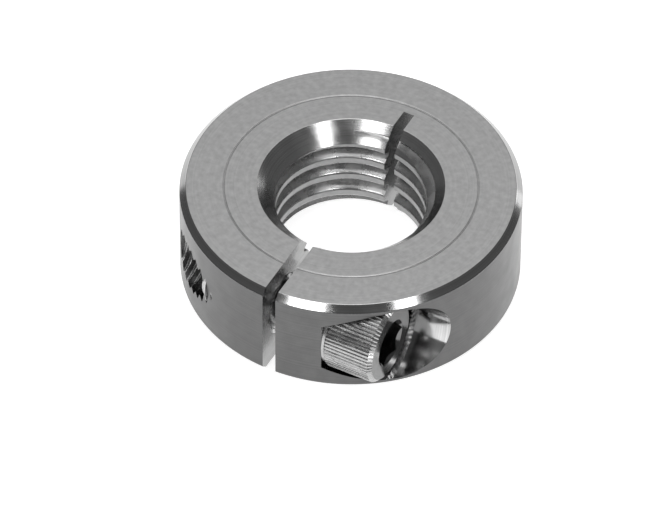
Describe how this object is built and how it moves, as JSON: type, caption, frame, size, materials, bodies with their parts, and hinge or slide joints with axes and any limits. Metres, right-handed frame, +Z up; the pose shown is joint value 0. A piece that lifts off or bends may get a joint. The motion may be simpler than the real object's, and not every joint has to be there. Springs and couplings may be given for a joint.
{
  "type": "shaft collar",
  "caption": "Split clamping shaft collar with a coarse threaded bore, a turned face groove and a knurled socket head cap screw that draws its slot closed.",
  "frame": {"origin": "on the bore axis, in the plain bottom face", "axes": "+Z up the bore to the grooved face, +X along the clamp screw towards its head, so the open slot is towards -Y and the relief slit towards +Y"},
  "size_m": [0.0381, 0.038, 0.0127],
  "materials": {
    "collar_steel": "fine turned stainless steel",
    "screw_steel": "plain stainless steel, knurled head"
  },
  "bodies": {
    "tapped_half": {"collar_tapped_half": "collar_steel"},
    "head_half": {"collar_head_half": "collar_steel"},
    "clamp_screw": {"clamp_screw": "screw_steel"}
  },
  "joints": [
    {"name": "ring_flex", "type": "hinge", "parent": "tapped_half", "child": "head_half", "pos_m": [0.0004, 0.01298, 0.00635], "axis": [0, 0, -1], "range_deg": [0, 0.485]},
    {"name": "clamp_screw_turn", "type": "hinge", "parent": "head_half", "child": "clamp_screw", "pos_m": [0.006, -0.01385, 0.00635], "axis": [-1, 0, 0], "range_deg": [0, 90]}
  ],
  "couplings": [
    {"joint": "ring_flex", "follows": "clamp_screw_turn", "ratio": 0.005381}
  ]
}
